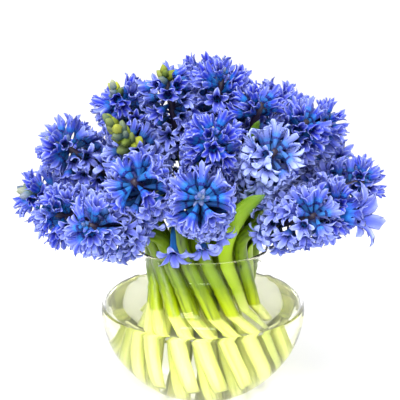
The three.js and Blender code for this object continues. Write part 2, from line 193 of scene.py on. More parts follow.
def mesh_piece(name, points, faces, materials, face_material=None, **attributes):
    """One smooth mesh object from points, arrays of triangles or quads, and values at its points."""
    mesh = bpy.data.meshes.new(name)
    mesh.vertices.add(len(points))
    mesh.vertices.foreach_set("co", np.asarray(points, np.float32).ravel())
    corners = np.concatenate([group.ravel() for group in faces])
    sizes = np.concatenate([np.full(len(group), group.shape[1]) for group in faces])
    mesh.loops.add(len(corners))
    mesh.loops.foreach_set("vertex_index", corners.astype(np.int32))
    mesh.polygons.add(len(sizes))
    mesh.polygons.foreach_set("loop_start", (np.cumsum(sizes) - sizes).astype(np.int32))
    mesh.polygons.foreach_set("use_smooth", np.ones(len(sizes), bool))
    if face_material is not None:
        mesh.polygons.foreach_set("material_index", np.asarray(face_material, np.int32))
    mesh.update(calc_edges=True)
    for key, values in attributes.items():
        layer = mesh.attributes.new(key, "FLOAT", "POINT")
        layer.data.foreach_set("value", np.asarray(values, np.float32))
    for material in materials:
        mesh.materials.append(material)
    return new_object(name, mesh)


def place_piece(piece, slot, *nodes):
    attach(piece, "root")
    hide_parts(*nodes)


def ring_quads(rows, columns):
    """Quads between rows of points, each row joined round its columns."""
    r, c = np.meshgrid(np.arange(rows - 1), np.arange(columns), indexing="ij")
    n = (c + 1) % columns
    quads = np.stack((r * columns + c, r * columns + n, (r + 1) * columns + n, (r + 1) * columns + c), -1)
    return quads.reshape(-1, 4)


def fan(centre, ring, flip=False):
    ring = np.asarray(ring)
    following = np.roll(ring, -1)
    middle = np.full(len(ring), centre)
    order = (middle, following, ring) if flip else (middle, ring, following)
    return np.stack(order, -1)


def closed_faces(rows, columns):
    """Faces of a closed body: its points are rows round it, then its first end and its last."""
    last = rows * columns
    return [
        ring_quads(rows, columns),
        fan(last, np.arange(columns), flip=True),
        fan(last + 1, np.arange(last - columns, last)),
    ]


# A direction that no stem or axis runs in, from which a tube's own frame starts
TUBE_SIDE = (0.31, 0.95, 0.05)


def swept_tube(points, radii, sides, start_turn=0.0):
    """Points and faces of a closed tube of changing radius along a line of points."""
    tangents = tangents_of(points)
    across = unit(np.cross(tangents[0], TUBE_SIDE))
    rings = []
    angles = 2 * pi * np.arange(sides) / sides + start_turn
    for point, tangent, radius in zip(points, tangents, radii):
        across = unit(across - tangent * (across @ tangent))
        second = np.cross(tangent, across)
        spread = np.cos(angles)[:, None] * across + np.sin(angles)[:, None] * second
        rings.append(point + spread * radius)
    return np.concatenate((*rings, points[:1], points[-1:])), closed_faces(len(points), sides)


# The values that colour florets and buds: how far along and across its lobe a point is, whether it is
# inside the floret, the lobe's own tone, how pale or green the floret is, and how deep in the head it is,
# for painted shade
VALUE_NAMES = ("along", "across", "inside", "tone", "pale", "green", "depth_shade")

# One floret: a tube that swells, then six strap-shaped lobes that roll back, all one closed thin sheet
LOBES = 6
LOBE_CELLS = 4
COLUMNS = LOBES * LOBE_CELLS
LOBE_ROWS = 6
TUBE_ROWS = 4
TUBE_RADII = (0.0, 0.0009, 0.0018, 0.0022, 0.0036)
TUBE_STOPS = (0.0, 0.25, 0.52, 0.80, 1.0)
TUBE_ALONG = 0.4
TUBE_FLOOR_DEPTH = 0.006
TUBE_FLOOR_ALONG = 0.30
LOBE_SPOTS = (-1.0, -0.5, 0.0, 0.5, 1.0)
LOBE_WIDTHS = (1.0, 1.26, 1.44, 1.46, 1.32, 1.0, 0.0)
LOBE_BASE_HALF = 0.0019
LOBE_BASE_SHARE = 0.92
LOBE_LENGTH = 0.0125
LOBE_THICKNESS = 0.0006
LOBE_BEND_POWER = 1.8
LOBE_LENGTH_RANGE = (0.85, 1.12)
LOBE_WIDTH_RANGE = (0.88, 1.12)
SWAY_NOISE = 0.10
TWIST_NOISE = 0.42
CHANNEL_RANGE = (0.3, 0.95)
CHANNEL_FLATTENING = 0.55
RUFFLE_HEIGHT = 0.0010
RUFFLE_WAVES = (7, 2)

# The rings inside the tube's mouth: share of its radius, depth, and how far along
INNER_RINGS = {"lip": (0.84, 0.0, TUBE_ALONG), "throat": (0.62, 0.004, 0.33)}

# A lobe's lean in degrees when closed and when wide open, and its noise: at the tube and at the tip
FIRST_LEAN = (2, 38, 5)
LAST_LEAN = (20, 175, 20)

# The two sides of a lobe: the place in its thickness, and the middle's depth as a share of half its width
LOBE_SIDES = {"front": (0.5, -0.05), "back": (-0.5, 0.11)}


def floret_topology():
    """The points of one floret, each a name and its place in it, and its triangles and quads."""
    names = {}

    def at(*name):
        return names.setdefault(name, len(names))

    def outer(row, column):
        return at("tube", row, column % COLUMNS) if row else at("root")

    def lip(column):
        column %= COLUMNS
        return outer(TUBE_ROWS, column) if column % LOBE_CELLS == 0 else at("lip", column)

    def lobe(side, k, row, j):
        if row == 0:
            column = LOBE_CELLS * k + j
            return outer(TUBE_ROWS, column) if side == "back" else lip(column)
        if row == LOBE_ROWS:
            return at("tip", k)
        if j in (0, LOBE_CELLS):
            return at("edge", k, row, j)
        return at(side, k, row, j)

    quads, triangles = [], []
    for c in range(COLUMNS):
        triangles.append((outer(0, c), outer(1, c + 1), outer(1, c)))
        for row in range(1, TUBE_ROWS):
            quads.append((outer(row, c), outer(row, c + 1), outer(row + 1, c + 1), outer(row + 1, c)))
        quads.append((lip(c + 1), lip(c), at("throat", c), at("throat", (c + 1) % COLUMNS)))
        triangles.append((at("floor"), at("throat", c), at("throat", (c + 1) % COLUMNS)))
    for k in range(LOBES):
        for row in range(LOBE_ROWS):
            for j in range(LOBE_CELLS):
                for side in ("back", "front"):
                    low = (lobe(side, k, row, j), lobe(side, k, row, j + 1))
                    if row == LOBE_ROWS - 1:
                        face = (*low, at("tip", k))
                    else:
                        face = (*low, lobe(side, k, row + 1, j + 1), lobe(side, k, row + 1, j))
                    if side == "front":
                        face = face[::-1]
                    (triangles if len(face) == 3 else quads).append(face)
    return list(names), np.array(triangles), np.array(quads)


FLORET_NAMES, FLORET_TRIANGLES, FLORET_QUADS = floret_topology()


def value_rows(by_point, by_shape):
    """Values for each point of many shapes, from those that the shapes or the points have in common."""
    size, count = len(by_point["along"]), len(by_shape["pale"])
    rows = {key: np.tile(values, (count, 1)) for key, values in by_point.items()}
    rows.update((key, np.repeat(values[:, None], size, 1)) for key, values in by_shape.items())
    return rows


def lobe_lines(first, last, length):
    """Where a lobe's middle runs, as reach and rise from the notch, and how far it leans at each row."""
    first, last = first[..., None], last[..., None]
    middles = (np.arange(LOBE_ROWS) + 0.5) / LOBE_ROWS
    stops = np.arange(LOBE_ROWS + 1) / LOBE_ROWS
    lean = mix(first, last, middles ** LOBE_BEND_POWER)
    step = length[..., None] / LOBE_ROWS
    start = np.zeros_like(first)
    reach, rise = (
        np.concatenate((start, np.cumsum(part * step, -1)), -1) for part in (np.sin(lean), np.cos(lean))
    )
    return reach, rise, mix(first, last, stops ** LOBE_BEND_POWER)


def lobe_shapes(florets, draw):
    """Each lobe's length, width, sway, twist, channel and ruffle, and its rows' reach, rise and lean."""
    shape = (len(florets["length"]), LOBES)
    size = florets["size"][:, None]
    first, last = (
        np.radians(mix(closed, wide, florets["openness"][:, None]) + draw.normal(0, spread, shape))
        for closed, wide, spread in (FIRST_LEAN, LAST_LEAN)
    )
    length = LOBE_LENGTH * size * draw.uniform(*LOBE_LENGTH_RANGE, shape)
    width = size * draw.uniform(*LOBE_WIDTH_RANGE, shape)
    sway = draw.normal(0, SWAY_NOISE, shape)
    twist = draw.normal(0, TWIST_NOISE, shape)
    channel = draw.uniform(*CHANNEL_RANGE, shape)
    ruffle = draw.uniform(0, 2 * pi, shape)
    return length, width, sway, twist, channel, ruffle, *lobe_lines(first, last, length)


def tube_spot(kind, spot, florets):
    """A ring's radius and height in the florets, how far along it is, and whether it is inside."""
    length, size = florets["length"], florets["size"]
    if kind == "tube":
        stop = TUBE_STOPS[spot[0]]
        return TUBE_RADII[spot[0]] * size, stop * length, TUBE_ALONG * stop, False
    share, depth, along = INNER_RINGS[kind]
    return TUBE_RADII[-1] * size * share, length - depth * size, along, True


def lobe_spot(kind, k, row, j, florets, lobes):
    """Where a point of lobe k is in the florets' own frames."""
    x = LOBE_SPOTS[j]
    u = row / LOBE_ROWS
    angle = 2 * pi * (k + 0.5) / LOBES
    radial = np.array((cos(angle), sin(angle), 0.0))
    sideways = np.cross(UP, radial)
    length, width, sway, twist, channel, ruffle, reach, rise, lean = (values[:, k] for values in lobes)
    tilt = lean[:, row, None]
    inner = -radial * np.cos(tilt) + UP * np.sin(tilt)
    turn = (twist * u)[:, None]
    over = sideways * np.cos(turn) + inner * np.sin(turn)
    front = inner * np.cos(turn) - sideways * np.sin(turn)
    half = LOBE_BASE_HALF * LOBE_WIDTHS[row] * width
    wave = np.sin(ruffle + RUFFLE_WAVES[0] * u + RUFFLE_WAVES[1] * x)
    side, middle = LOBE_SIDES.get(kind, (0.0, 0.0))
    lift = channel * half * x * x * (1 - CHANNEL_FLATTENING * u)
    lift = lift + RUFFLE_HEIGHT * u * wave * abs(x)
    lift = lift + middle * (1 - abs(x)) * half
    lift = lift + side * LOBE_THICKNESS * (1 - x * x)
    base = TUBE_RADII[-1] * florets["size"] * LOBE_BASE_SHARE
    centre = radial * (base + reach[:, row])[:, None]
    centre = centre + UP * (florets["length"] + rise[:, row])[:, None]
    centre = centre + sideways * (sway * length * u * u)[:, None]
    return centre + over * (x * half)[:, None] + front * lift[:, None]


def floret_points(florets, draw):
    """The points of many florets in their own frames, opening along +Z, and the values for their colour."""
    count = len(florets["length"])
    lobes = lobe_shapes(florets, draw)
    size = len(FLORET_NAMES)
    points = np.zeros((count, size, 3))
    along, across, inside = np.zeros((3, size))
    lobe_of = np.zeros(size, int)
    for i, (kind, *spot) in enumerate(FLORET_NAMES):
        if kind == "root":
            continue
        if kind == "floor":
            points[:, i, 2] = florets["length"] - TUBE_FLOOR_DEPTH * florets["size"]
            along[i], inside[i] = TUBE_FLOOR_ALONG, 1
        elif kind in ("tube", "lip", "throat"):
            column = spot[-1]
            angle = 2 * pi * column / COLUMNS
            radius, height, along[i], inside[i] = tube_spot(kind, spot, florets)
            across[i] = abs(LOBE_SPOTS[column % LOBE_CELLS])
            lobe_of[i] = ((column + LOBE_CELLS // 2) // LOBE_CELLS - 1) % LOBES
            points[:, i, 0] = radius * cos(angle)
            points[:, i, 1] = radius * sin(angle)
            points[:, i, 2] = height
        else:
            k, row, j = (*spot, LOBE_ROWS, LOBE_CELLS // 2) if kind == "tip" else spot
            points[:, i] = lobe_spot(kind, k, row, j, florets, lobes)
            along[i] = mix(TUBE_ALONG, 1, row / LOBE_ROWS)
            across[i] = abs(LOBE_SPOTS[j])
            inside[i] = kind == "front"
            lobe_of[i] = k
    by_point = {"along": along, "across": across, "inside": inside}
    values = value_rows(by_point, {"pale": florets["pale"], "green": np.zeros(count)})
    lobe_tones = draw.uniform(0, 1, (count, LOBES))[:, lobe_of]
    values["tone"] = (lobe_tones + draw.uniform(0, 1, (count, 1))) / 2
    return points, values


# One bud: six closed lobes, as a ridged spindle. Its swell says how low it is fullest, how blunt its ends
# are, and how much thinner its upper half is
BUD_COLUMNS = 12
BUD_ROWS = 7
BUD_SWELL = (0.85, 0.75, 0.25)
BUD_RIDGES = 0.10
BUD_BOW_NOISE = 0.05
BUD_ALONG = 0.8


def bud_points(buds, draw):
    """The points of many buds in their own frames, along +Z, and the values for their colour."""
    stops = np.arange(1, BUD_ROWS) / BUD_ROWS
    lowness, bluntness, thinning = BUD_SWELL
    swell = np.sin(pi * stops ** lowness) ** bluntness * (1 - thinning * stops)
    angles = 2 * pi * np.arange(BUD_COLUMNS) / BUD_COLUMNS
    ridges = 1 + BUD_RIDGES * np.cos(LOBES * angles)
    count = len(buds["length"])
    radius = buds["radius"][:, None, None] * swell[None, :, None] * ridges[None, None, :]
    bow = buds["length"] * draw.normal(0, BUD_BOW_NOISE, count)
    grid = np.zeros((count, BUD_ROWS - 1, BUD_COLUMNS, 3))
    grid[..., 0] = radius * np.cos(angles) + bow[:, None, None] * (stops ** 2)[None, :, None]
    grid[..., 1] = radius * np.sin(angles)
    grid[..., 2] = buds["length"][:, None, None] * stops[None, :, None]
    size = (BUD_ROWS - 1) * BUD_COLUMNS + 2
    points = np.zeros((count, size, 3))
    points[:, :-2] = grid.reshape(count, -1, 3)
    points[:, -1, 0] = bow
    points[:, -1, 2] = buds["length"]
    along = BUD_ALONG * np.append(np.repeat(stops, BUD_COLUMNS), (0, 1))
    seams = (1 - np.cos(LOBES * angles)) / 2
    across = np.append(np.tile(seams, BUD_ROWS - 1), (0, 0))
    by_point = {"along": along, "across": across, "inside": np.zeros(size), "depth_shade": np.zeros(size)}
    by_bud = {"tone": draw.uniform(0, 1, count), "pale": np.zeros(count), "green": buds["green"]}
    return points, value_rows(by_point, by_bud)


# How a head is filled with florets and buds. Ranges and noise are for the seeded draws
HEAD_SEED = 500
GOLDEN_ANGLE = 137.508
FLORET_REACH = 0.023
FLORETS_PER_HEAD = 40
EXTRA_FLORETS = 12
FULLNESS_SPAN = 0.3
FULLEST_SIZE = 1.14
TILT_NOISE = 0.15
TURN_NOISE = 12
REACH_RANGE = (0.86, 1.06)
SIZE_RANGE = (0.92, 1.08)
LOWEST_FLORET = 0.012
OPENING_SHIFTS = (0.22, -0.40)
CROWDED_LOSS = 0.35
OPENING_NOISE = 0.14
OPENING_LIMITS = (0.02, 1.1)
PALENESS_SHIFTS = (0.16, -0.14)
PALENESS_NOISE = 0.12
CLIMB_RANGE = (0.2, 0.9)
LOWEST_DROOP = 16
DROOP_END = 0.35
ROOT_RADIUS = 0.001
LOWEST_ROOT = 0.004
ROOT_BELOW_TIP = 0.010
EXTRA_TILTS = (0, 12, 24)
TILT_COST = 0.004
LEAST_SPEED = 1e-6
SHORTEST_FLORET = 0.5
SMALLEST_FLORET = 0.5
LOBE_REACH = (0.0085, 0.0040)
# Painted shade deep in a head: the shares of the dome's radius over which it fades out, and how much of it
# florets near the tip keep
DEPTH_SHADE_REACH = (0.42, 0.98)
DEPTH_SHADE_AT_TIP = 0.35
LEAF_CLEARANCE = 0.0095
LEAF_CLEAR_FROM = 0.55
LEAF_CLEAR_STOPS = 14
LEAF_CLEAR_STEPS = (0.0, 0.008, 0.014)
BUD_ROOT_DEPTH = 0.010
BUD_LEANS = (72, 6)
BUD_LEAN_POWER = 1.3
BUD_LEAN_NOISE = 5
BUD_SIZES = (1.1, 0.8)
BUD_SIZE_RANGE = (0.88, 1.1)
BUD_SLIMNESS = (0.24, 0.40)
BUD_GREEN_NOISE = 0.12
RACHIS_SIDES = 10
RACHIS_STOPS = 9
RACHIS_START = -0.002
RACHIS_END = 0.015
RACHIS_RADII = (0.0056, 0.0016)

# What sets one head apart: how pale it is, how open its florets, how far up the head and over its dome (in
# degrees) they grow, how they lean to its tip, and the number, length, zone and greenness of its buds
Traits = namedtuple("Traits", "pale openness open_share crown lean buds bud_length bud_zone green")
PLAIN = Traits(pale=0.25, openness=0.50, open_share=1.0, crown=66, lean=0.95, buds=6, bud_length=0.007,
               bud_zone=0.006, green=0.3)
ODD_HEADS = {
    1: dict(openness=0.42, crown=60, buds=10, bud_length=0.011, bud_zone=0.014, green=0.5),
    2: dict(openness=0.40, crown=54, buds=10, bud_length=0.0125, bud_zone=0.010, green=0.7),
    3: dict(pale=0.35, openness=0.60, crown=50, lean=0.5, buds=3),
    4: dict(pale=0.30, openness=0.95, crown=30, lean=0.4, buds=0),
    5: dict(pale=0.35, openness=0.85, crown=36, lean=0.45, buds=9, bud_length=0.0085, bud_zone=0.012,
            green=0.35),
    6: dict(pale=0.0, openness=0.45),
    7: dict(openness=0.42, open_share=0.5, buds=26, bud_length=0.0125, bud_zone=0.040, green=1.0),
    8: dict(pale=0.15, openness=0.38, open_share=0.9, buds=9, bud_length=0.010, bud_zone=0.010, green=0.8),
    9: dict(openness=0.42, open_share=0.9, buds=7, bud_length=0.011, bud_zone=0.010, green=0.9),
    11: dict(pale=0.1, openness=0.40, crown=56, buds=0),
    12: dict(pale=0.95, openness=0.9, crown=38, lean=0.5, buds=0),
    13: dict(pale=0.45, openness=0.75, crown=42, lean=0.5, buds=0),
    14: dict(openness=0.48, crown=52, buds=0),
    15: dict(pale=0.2, openness=0.34, crown=72),
    16: dict(openness=0.40, crown=72),
    27: dict(openness=0.35, crown=48),
}

# A head's number from 0, the start, direction and length of its axis, its dome's radius, and its traits
Head = namedtuple("Head", "number start axis length dome traits")

# Florets that grow low on a stem and hang before the collar: head, share of the stem's run, and mouth
HANGING = (
    (4, 0.86, (-0.024, -0.088, 0.154)),
    (5, 0.90, (0.000, -0.088, 0.158)),
    (5, 0.97, (0.017, -0.090, 0.170)),
)
HANGING_SIZE = 1.3
HANGING_OPENNESS = 0.7


class Parts:
    """Collects points, faces and values of many small shapes that make one piece."""

    def __init__(self):
        self.points, self.faces, self.slots, self.values = [], [], [], []
        self.count = 0

    def add(self, points, faces, values, slot=0):
        for group in faces:
            self.faces.append(group + self.count)
            self.slots.append(np.full(len(group), slot))
        self.points.append(points)
        self.values.append(values)
        self.count += len(points)

    def add_many(self, points, faces, values):
        """The same faces for each of many shapes."""
        count, size = points.shape[:2]
        shifts = (np.arange(count) * size)[:, None, None]
        repeated = [(group[None] + shifts).reshape(-1, group.shape[1]) for group in faces]
        flat = {key: value.reshape(-1) for key, value in values.items()}
        self.add(points.reshape(-1, 3), repeated, flat)

    def piece(self, name, materials):
        keys = self.values[0].keys()
        joined = {key: np.concatenate([values[key] for values in self.values]) for key in keys}
        return mesh_piece(name, np.concatenate(self.points), self.faces, materials,
                          np.concatenate(self.slots), **joined)


def local_frames(directions, spins):
    """Frames whose Z is each direction, turned about it by each spin."""
    frames = []
    for direction, spin in zip(directions, spins):
        base = frame_along(direction)
        x = base[:, 0] * cos(spin) + base[:, 1] * sin(spin)
        y = base[:, 1] * cos(spin) - base[:, 0] * sin(spin)
        frames.append(np.stack((x, y, direction), -1))
    return np.array(frames)


def placed(points, roots, aims, spins):
    """The points of many shapes, moved from their own frames to their roots, aims and spins."""
    return np.einsum("nij,nvj->nvi", local_frames(aims, spins), points) + roots[:, None]


def settled(root, outwards, axis, tilt, reach, planes):
    """The direction and the share of its length with which a floret stays clear of the next heads."""
    normals, limits = planes
    best = (-1.0, None, 0.0)
    for extra in EXTRA_TILTS:
        lean = tilt + radians(extra)
        direction = outwards * cos(lean) + axis * sin(lean)
        speed = normals @ direction
        ways = (limits - normals @ root) / np.maximum(speed, LEAST_SPEED)
        room = np.where(speed > LEAST_SPEED, ways, 1.0).min()
        share = min(1.0, room / reach)
        merit = share - TILT_COST * extra
        if merit > best[0]:
            best = (merit, direction, share)
    return best[1:]


def leaf_space(runs):
    """Points along the leaves' upper parts and out before them, where no floret opens."""
    stops = np.linspace(LEAF_CLEAR_FROM, 1.0, LEAF_CLEAR_STOPS)
    points = []
    for run in runs:
        line = run.points(stops)
        outwards = unit(line - BOUQUET_CENTRE)
        points.extend(line + outwards * step for step in LEAF_CLEAR_STEPS)
    return np.concatenate(points)


def around(head, angle):
    """The direction square to a head's axis at an angle round it."""
    return frame_along(head.axis) @ np.array((cos(angle), sin(angle), 0.0))


def floret_plan(draw, head, fullness, planes, kept_clear):
    """Roots, directions and lengths of a head's florets, by a spiral up a cylinder and over its dome."""
    traits = head.traits
    count = round((FLORETS_PER_HEAD + EXTRA_FLORETS * (fullness - 1)) * traits.open_share)
    straight = head.length - head.dome - LOWEST_FLORET
    hull = straight + head.dome * sin(radians(traits.crown))
    plan = []
    for k in range(count):
        share = (k + 0.5) / count * traits.open_share
        rise = max(share * hull - straight, 0) / head.dome
        tilt = traits.lean * asin(rise) + draw.normal(0, TILT_NOISE)
        tilt -= radians(LOWEST_DROOP) * (1 - smoothstep(share, 0.0, DROOP_END))
        total = (head.dome * sqrt(1 - rise * rise) - ROOT_RADIUS) / cos(tilt)
        total *= draw.uniform(*REACH_RANGE)
        height = LOWEST_FLORET + min(share * hull, straight) + head.dome * rise - total * sin(tilt)
        angle = radians(GOLDEN_ANGLE * k + draw.normal(0, TURN_NOISE)) + head.number
        root = head.start + head.axis * min(max(height, LOWEST_ROOT), head.length - ROOT_BELOW_TIP)
        aim, room = settled(root, around(head, angle), head.axis, tilt, total, planes)
        mouth = root + aim * total * room
        nearest = np.linalg.norm(kept_clear - mouth, axis=1).min()
        if room > SHORTEST_FLORET and nearest > LEAF_CLEARANCE:
            plan.append((root, aim, total * room, total * room / head.dome, share))
    return plan


def depth_shade_in_head(points, head):
    """1 near the head's middle and 0 at its outer reach: the strength of the painted shade deep in the
    head.
    """
    from_start = points - head.start
    height = np.clip(from_start @ head.axis, 0, head.length - head.dome)
    out = np.linalg.norm(from_start - height[..., None] * head.axis, axis=-1) / head.dome
    return 1 - smoothstep(out, *DEPTH_SHADE_REACH)


def add_florets(parts, draw, plan, head, size, openness):
    roots, aims, totals, rooms, heights = (np.array(column) for column in zip(*plan))
    count = len(plan)
    climb = smoothstep(heights, *CLIMB_RANGE)
    opens = openness + mix(*OPENING_SHIFTS, climb) - CROWDED_LOSS * (1 - rooms)
    opens = np.clip(opens + draw.normal(0, OPENING_NOISE, count), *OPENING_LIMITS)
    pales = head.traits.pale + mix(*PALENESS_SHIFTS, climb) + draw.normal(0, PALENESS_NOISE, count)
    sizes = size * mix(SMALLEST_FLORET, 1.0, rooms) * draw.uniform(*SIZE_RANGE, count)
    florets = {
        "length": totals - mix(*LOBE_REACH, opens) * sizes,
        "openness": opens,
        "pale": np.clip(pales, 0, 1),
        "size": sizes,
    }
    points, values = floret_points(florets, draw)
    world = placed(points, roots, aims, draw.uniform(0, 2 * pi, count))
    # Painted shade by how deep in the head a point lies, less for florets that climb towards the tip
    values["depth_shade"] = depth_shade_in_head(world, head) * mix(1.0, DEPTH_SHADE_AT_TIP, climb)[:, None]
    parts.add_many(world, [FLORET_TRIANGLES, FLORET_QUADS], values)


def add_buds(parts, draw, head):
    traits = head.traits
    if traits.buds == 0:
        return
    shares = (np.arange(traits.buds) + 0.5) / traits.buds
    roots, aims = [], []
    for k, share in enumerate(shares):
        lean = radians(mix(*BUD_LEANS, share ** BUD_LEAN_POWER) + draw.normal(0, BUD_LEAN_NOISE))
        outwards = around(head, radians(GOLDEN_ANGLE * k) + head.number)
        aims.append(head.axis * cos(lean) + outwards * sin(lean))
        height = head.length - BUD_ROOT_DEPTH - traits.bud_zone * (1 - share)
        roots.append(head.start + head.axis * height)
    sizes = traits.bud_length * mix(*BUD_SIZES, shares) * draw.uniform(*BUD_SIZE_RANGE, traits.buds)
    buds = {
        "length": sizes,
        "radius": sizes * mix(*BUD_SLIMNESS, traits.green),
        "green": np.clip(traits.green + draw.normal(0, BUD_GREEN_NOISE, traits.buds), 0, 1),
    }
    points, values = bud_points(buds, draw)
    world = placed(points, np.array(roots), aims, draw.uniform(0, LARGEST_TURN, traits.buds))
    parts.add_many(world, closed_faces(BUD_ROWS - 1, BUD_COLUMNS), values)


def add_rachis(parts, head):
    stops = np.linspace(RACHIS_START, head.length - RACHIS_END, RACHIS_STOPS)
    points = head.start + head.axis * stops[:, None]
    radii = mix(*RACHIS_RADII, np.clip(stops / head.length, 0, 1))
    tube, faces = swept_tube(points, radii, RACHIS_SIDES)
    values = {key: np.zeros(len(tube)) for key in VALUE_NAMES}
    values["along"] = np.clip((tube - head.start) @ head.axis / head.length, 0, 1)
    parts.add(tube, faces, values, slot=1)


def hanging_florets(number, run):
    """The plan of the florets that hang from the stem of a head."""
    plan = []
    for owner, share, mouth in HANGING:
        if owner == number + 1:
            root = run.points([share])[0]
            drop = np.array(mouth) - root
            plan.append((root, unit(drop), np.linalg.norm(drop), 1.0, 0.0))
    return plan


def head_piece(number, run, materials, directions, weights, kept_clear):
    reach, fullness = HEADS[number][2:]
    draw = np.random.default_rng(HEAD_SEED + number)
    axis = directions[number]
    start = BOUQUET_CENTRE + axis * HEAD_START
    traits = PLAIN._replace(**ODD_HEADS.get(number + 1, {}))
    head = Head(number, start, axis, reach - HEAD_START, FLORET_REACH * fullness, traits)
    size = mix(1.0, FULLEST_SIZE, (fullness - 1) / FULLNESS_SPAN)
    parts = Parts()
    planes = cell_planes(number, directions, weights)
    plan = floret_plan(draw, head, fullness, planes, kept_clear)
    add_florets(parts, draw, plan, head, size, traits.openness)
    hanging = hanging_florets(number, run)
    if hanging:
        add_florets(parts, draw, hanging, head, HANGING_SIZE, HANGING_OPENNESS)
    add_buds(parts, draw, head)
    add_rachis(parts, head)
    piece = parts.piece(f"hyacinth_{number + 1:02d}", materials)
    place_piece(piece, "petal", f"head_{number + 1:02d}")


# The materials
def srgb(red, green, blue):
    """A colour as the shader takes it, from its values on a screen, 0 to 255."""
    def linear(v):
        v /= 255
        return v / 12.92 if v <= 0.04045 else ((v + 0.055) / 1.055) ** 2.4
    return linear(red), linear(green), linear(blue)


class Graph:
    """The nodes of a new material, with short ways to make and join them."""

    def __init__(self, name):
        self.material = bpy.data.materials.new(name)
        self.material.use_nodes = True
        self.nodes = self.material.node_tree.nodes
        self.nodes.clear()
        self.links = self.material.node_tree.links

    def node(self, kind, inputs, **settings):
        """A node with its settings, and with each input set to a value or joined to another's output."""
        made = self.nodes.new(kind)
        for key, value in settings.items():
            setattr(made, key, value)
        for key, value in inputs.items():
            socket = made.inputs[key]
            if isinstance(value, bpy.types.NodeSocket):
                self.links.new(value, socket)
            else:
                socket.default_value = (*value, 1) if socket.type == "RGBA" else value
        return made

    def attribute(self, name):
        return self.node("ShaderNodeAttribute", {}, attribute_name=name).outputs["Fac"]

    def calc(self, operation, a, b=0.0):
        return self.node("ShaderNodeMath", {0: a, 1: b}, operation=operation).outputs[0]

    def times(self, a, b):
        return self.calc("MULTIPLY", a, b)

    def blend(self, share, a, b, strength=None):
        """Colour a where the share is 0 and b where it is 1, or less of b for a strength under 1."""
        if strength is not None:
            share = self.times(share, strength)
        return self.node("ShaderNodeMix", {0: share, 6: a, 7: b}, data_type="RGBA").outputs[2]

    def ramp(self, value, *stops):
        """Colours along a value. A stop is a position and a colour from its values on a screen."""
        made = self.node("ShaderNodeValToRGB", {0: value})
        elements = made.color_ramp.elements
        while len(elements) < len(stops):
            elements.new(0.5)
        for element, (position, *colour) in zip(elements, stops):
            element.position = position
            element.color = (*srgb(*colour), 1)
        return made.outputs[0]

    def place(self):
        return self.node("ShaderNodeTexCoord", {}).outputs["Object"]

    def noise(self, scale, detail=2.0):
        inputs = {"Scale": scale, "Detail": detail, "Vector": self.place()}
        return self.node("ShaderNodeTexNoise", inputs).outputs["Fac"]

    def height_share(self, low, high):
        """0 below a low height of the part and 1 above a high one."""
        height = self.node("ShaderNodeSeparateXYZ", {0: self.place()}).outputs["Z"]
        inputs = {"From Min": low, "From Max": high, "Value": height}
        return self.node("ShaderNodeMapRange", inputs).outputs["Result"]

    def bump(self, height, strength, distance):
        inputs = {"Height": height, "Strength": strength, "Distance": distance}
        return self.node("ShaderNodeBump", inputs).outputs[0]

    def shader(self, colour, roughness, more):
        inputs = {"Base Color": colour, "Roughness": roughness, **more}
        return self.node("ShaderNodeBsdfPrincipled", inputs).outputs[0]

    def mixed(self, share, a, b):
        return self.node("ShaderNodeMixShader", {0: share, 1: a, 2: b}).outputs[0]

    def finished(self, surface):
        self.node("ShaderNodeOutputMaterial", {"Surface": surface})
        return self.material


